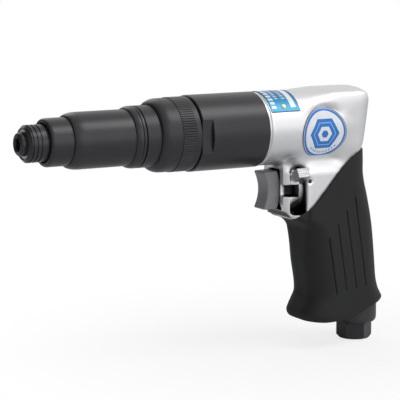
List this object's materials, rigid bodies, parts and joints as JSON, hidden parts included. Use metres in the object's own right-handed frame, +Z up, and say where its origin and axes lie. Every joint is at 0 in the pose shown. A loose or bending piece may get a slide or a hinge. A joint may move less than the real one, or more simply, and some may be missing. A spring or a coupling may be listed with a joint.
{
  "type": "pneumatic screwdriver",
  "caption": "Pistol-grip air screwdriver with a quick-change bit spindle, external clutch collar, trigger, reverse lever, rubber grip and bottom air inlet.",
  "frame": {"origin": "centre of the bit socket's mouth, on the spindle axis", "axes": "+X along the spindle out of the nose, +Z up with the handle hanging down, +Y to the tool's left"},
  "size_m": [0.2161, 0.04, 0.1413],
  "materials": {
    "housing_alloy": "satin bead-blasted, lightly machined look",
    "black_steel": "satin black oxide",
    "collar_black": "satin black oxide, knurled",
    "bright_steel": "ground",
    "spring_steel": "drawn wire",
    "bearing_steel": "ground and polished",
    "bronze": "machined",
    "copper_rivet": "domed, bright",
    "grip_rubber": "fine matt moulded texture",
    "seal_rubber": "smooth",
    "trigger_plastic": "fine moulded texture",
    "deflector_plastic": "moulded",
    "lever_steel": "sintered, satin",
    "plate_blue": "printed foil on aluminium",
    "badge_white": "printed, blue border",
    "seal_gasket": "flat",
    "vane_resin": "resin-bonded cloth",
    "felt": "pressed felt"
  },
  "bodies": {
    "housing": {"motor_housing": "housing_alloy", "rubber_grip": "grip_rubber", "name_plate": "plate_blue", "plate_rivets": "copper_rivet", "side_badge": "badge_white", "case_seal_ring": "seal_gasket", "clutch_case": "black_steel", "ring_gear": "bright_steel", "nose_casing": "black_steel", "nose_bush": "bronze", "stop_ring": "black_steel", "motor_cylinder": "bright_steel", "front_end_plate": "bright_steel", "rear_end_plate": "bright_steel", "front_rotor_bearing": "bearing_steel", "rear_rotor_bearing": "bearing_steel", "cylinder_pin": "bright_steel", "carrier_bearing": "bearing_steel", "inlet_bushing": "black_steel", "inlet_screen": "bronze", "exhaust_muffler": "felt", "valve_seat": "bronze", "stem_guide": "bronze", "stem_seal": "seal_rubber", "throttle_spring": "spring_steel", "detent_screw": "black_steel", "detent_spring": "spring_steel", "detent_ball": "bearing_steel", "clutch_spring": "spring_steel"},
    "trigger": {"trigger_button": "trigger_plastic", "trigger_stem": "bright_steel", "trigger_pin": "bright_steel", "throttle_valve": "seal_rubber"},
    "reverser": {"reverse_lever": "lever_steel", "reverse_valve": "bronze", "lever_key": "bright_steel"},
    "rotor": {"rotor": "bright_steel", "rotor_vanes": "vane_resin"},
    "carrier": {"planet_carrier": "bright_steel", "planet_pins": "bright_steel", "clutch_balls": "bearing_steel"},
    "planet_1": {"planet_gear_1": "bright_steel"},
    "planet_2": {"planet_gear_2": "bright_steel"},
    "planet_3": {"planet_gear_3": "bright_steel"},
    "spindle": {"spindle": "black_steel", "lock_ball": "bearing_steel", "sleeve_snap_ring": "spring_steel", "sleeve_stop_ring": "spring_steel", "chuck_spring": "spring_steel"},
    "driven": {"driven_plate": "bright_steel"},
    "nut": {"adjusting_nut": "bright_steel", "adjusting_pins": "bright_steel", "spring_washer": "bright_steel", "thrust_balls": "bearing_steel"},
    "collar": {"adjusting_collar": "collar_black"},
    "sleeve": {"chuck_sleeve": "black_steel"},
    "deflector": {"exhaust_deflector": "deflector_plastic"}
  },
  "joints": [
    {"name": "trigger_pull", "type": "slide", "parent": "housing", "child": "trigger", "axis": [-1, 0, 0], "range_m": [0, 0.0035], "stiffness_N_per_m": 700, "springref_m": -0.004, "deforming": ["throttle_spring"]},
    {"name": "reverse_turn", "type": "hinge", "parent": "housing", "child": "reverser", "pos_m": [-0.16, 0, -0.033], "axis": [1, 0, 0], "range_deg": [-60, 0]},
    {"name": "carrier_spin", "type": "hinge", "parent": "housing", "child": "carrier", "pos_m": [-0.11, 0, 0], "axis": [1, 0, 0], "continuous": true},
    {"name": "rotor_spin", "type": "hinge", "parent": "housing", "child": "rotor", "pos_m": [-0.16, 0, 0], "axis": [1, 0, 0], "continuous": true},
    {"name": "planet_1_spin", "type": "hinge", "parent": "carrier", "child": "planet_1", "pos_m": [-0.125, 0, -0.00945], "axis": [1, 0, 0], "continuous": true},
    {"name": "planet_2_spin", "type": "hinge", "parent": "carrier", "child": "planet_2", "pos_m": [-0.125, 0.00818, 0.00473], "axis": [1, 0, 0], "continuous": true},
    {"name": "planet_3_spin", "type": "hinge", "parent": "carrier", "child": "planet_3", "pos_m": [-0.125, -0.00818, 0.00473], "axis": [1, 0, 0], "continuous": true},
    {"name": "spindle_spin", "type": "hinge", "parent": "housing", "child": "spindle", "pos_m": [-0.05, 0, 0], "axis": [1, 0, 0], "continuous": true},
    {"name": "clutch_release", "type": "slide", "parent": "spindle", "child": "driven", "axis": [1, 0, 0], "range_m": [0, 0.0018], "stiffness_N_per_m": 6000, "springref_m": -0.0015, "deforming": ["clutch_spring"]},
    {"name": "collar_turn", "type": "hinge", "parent": "housing", "child": "collar", "pos_m": [-0.08, 0, 0], "axis": [1, 0, 0], "range_deg": [0, 450]},
    {"name": "nut_feed", "type": "slide", "parent": "housing", "child": "nut", "axis": [-1, 0, 0], "range_m": [0, 0.005], "deforming": ["clutch_spring"]},
    {"name": "sleeve_pull", "type": "slide", "parent": "spindle", "child": "sleeve", "axis": [1, 0, 0], "range_m": [0, 0.0035], "stiffness_N_per_m": 700, "springref_m": -0.003, "deforming": ["chuck_spring"]},
    {"name": "deflector_turn", "type": "hinge", "parent": "housing", "child": "deflector", "pos_m": [-0.2028, 0, -0.107], "axis": [0, 0, 1], "continuous": true}
  ],
  "couplings": [
    {"joint": "rotor_spin", "follows": "carrier_spin", "ratio": 5.4},
    {"joint": "planet_1_spin", "follows": "carrier_spin", "ratio": -2.5882},
    {"joint": "planet_2_spin", "follows": "carrier_spin", "ratio": -2.5882},
    {"joint": "planet_3_spin", "follows": "carrier_spin", "ratio": -2.5882},
    {"joint": "spindle_spin", "follows": "carrier_spin", "ratio": 1},
    {"joint": "nut_feed", "follows": "collar_turn", "m_per_rad": 0.00063662}
  ]
}
